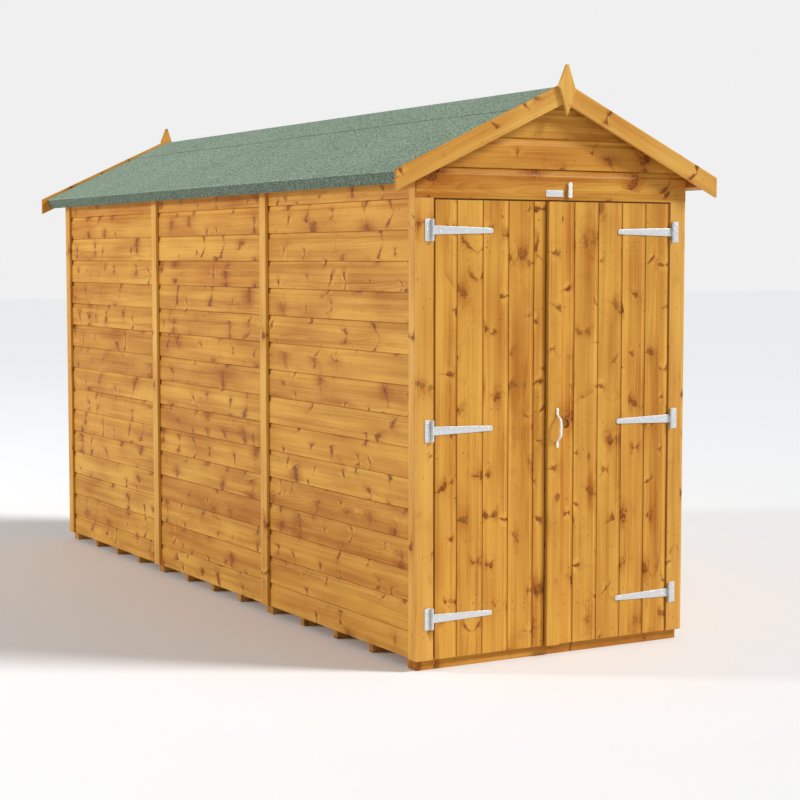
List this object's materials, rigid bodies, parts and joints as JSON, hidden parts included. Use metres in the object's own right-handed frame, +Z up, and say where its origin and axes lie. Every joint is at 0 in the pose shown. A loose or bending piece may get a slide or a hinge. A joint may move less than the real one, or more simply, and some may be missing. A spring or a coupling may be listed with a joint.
{
  "type": "wooden garden shed",
  "caption": "Apex garden shed of shiplap panels on a framed floor, with double doors on strap hinges, a felted pitched roof, barge boards and finials.",
  "frame": {"origin": "on the ground under the middle of the shed", "axes": "+Z up, the doors face -Y, +X to the right of someone who faces the doors"},
  "size_m": [1.452, 3.854, 2.2328],
  "materials": {
    "cladding_wood": "golden dip-stained softwood boards with knots",
    "trim_wood": "paler golden softwood trim, lightly sanded",
    "framing_wood": "sawn softwood framing, dip-stained",
    "mineral_felt": "green mineral-faced roofing felt",
    "zinc_steel": "galvanised steel",
    "cream_plastic": "cream moulded plastic",
    "plate_metal": "plain satin plate, no lettering"
  },
  "bodies": {
    "shed": {"floor_bearers": "framing_wood", "floor_boards": "framing_wood", "sills": "framing_wood", "left_front_panel": "cladding_wood", "left_middle_panel": "cladding_wood", "left_rear_panel": "cladding_wood", "right_front_panel": "cladding_wood", "right_middle_panel": "cladding_wood", "right_rear_panel": "cladding_wood", "rear_panel": "cladding_wood", "front_gable": "cladding_wood", "front_stiles": "trim_wood", "left_wall_rails": "framing_wood", "left_wall_studs": "framing_wood", "right_wall_rails": "framing_wood", "right_wall_studs": "framing_wood", "rear_bottom_rail": "framing_wood", "rear_studs": "framing_wood", "door_posts": "framing_wood", "head_rail": "framing_wood", "door_stops": "framing_wood", "gable_studs": "framing_wood", "gable_rafters": "framing_wood", "purlins": "framing_wood", "roof_boards": "framing_wood", "eaves_rails": "framing_wood", "left_felt": "mineral_felt", "right_felt": "mineral_felt", "front_barge_boards": "trim_wood", "rear_barge_boards": "trim_wood", "front_finial": "trim_wood", "rear_finial": "trim_wood", "joint_strips": "trim_wood", "front_corner_strips": "trim_wood", "rear_corner_strips": "trim_wood", "name_plate": "plate_metal", "hinge_plates": "zinc_steel"},
    "left_door": {"left_door_boards": "cladding_wood", "left_door_ledges": "framing_wood", "left_door_braces": "framing_wood", "left_hinge_straps": "zinc_steel"},
    "right_door": {"right_door_boards": "cladding_wood", "right_door_ledges": "framing_wood", "right_door_braces": "framing_wood", "right_hinge_straps": "zinc_steel", "door_strip": "trim_wood", "door_handle": "cream_plastic"},
    "turn_button": {"turn_button": "cream_plastic"}
  },
  "joints": [
    {"name": "left_door_hinge", "type": "hinge", "parent": "shed", "child": "left_door", "pos_m": [-0.548, -1.867, 0.886], "axis": [0, 0, -1], "range_deg": [0, 165]},
    {"name": "right_door_hinge", "type": "hinge", "parent": "shed", "child": "right_door", "pos_m": [0.548, -1.867, 0.886], "axis": [0, 0, 1], "range_deg": [0, 165]},
    {"name": "turn_button_pivot", "type": "hinge", "parent": "shed", "child": "turn_button", "pos_m": [0.055, -1.865, 1.757], "axis": [0, 1, 0], "range_deg": [0, 180]}
  ]
}
